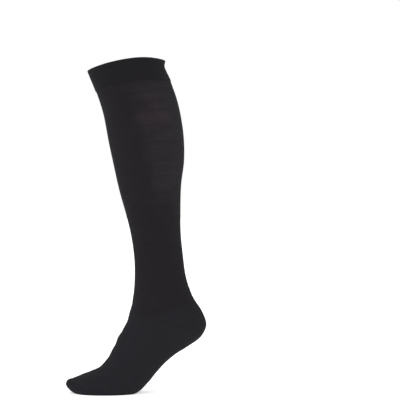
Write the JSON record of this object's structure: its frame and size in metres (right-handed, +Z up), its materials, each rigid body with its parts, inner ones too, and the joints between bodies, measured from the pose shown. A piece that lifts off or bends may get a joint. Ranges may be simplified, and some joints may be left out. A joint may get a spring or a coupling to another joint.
{
  "type": "compression stocking",
  "caption": "Knee-high closed-toe compression stocking in plain fine knit, hollow in its worn walking shape, heel raised.",
  "frame": {"origin": "middle of the top opening, where the band grips the leg below the knee", "axes": "+Z up, the toe points along -X, +Y across the foot; the part is symmetric about y = 0"},
  "size_m": [0.2059, 0.1114, 0.489],
  "materials": {
    "band_knit": "matte black doubled knit with covered elastic",
    "leg_knit": "matte black fine knit, a little lighter where the calf stretches it",
    "foot_knit": "matte black fine knit, denser than the leg"
  },
  "bodies": {
    "root": {"top_band": "band_knit", "leg": "leg_knit", "heel": "foot_knit", "foot": "foot_knit", "toe": "foot_knit"}
  },
  "joints": []
}
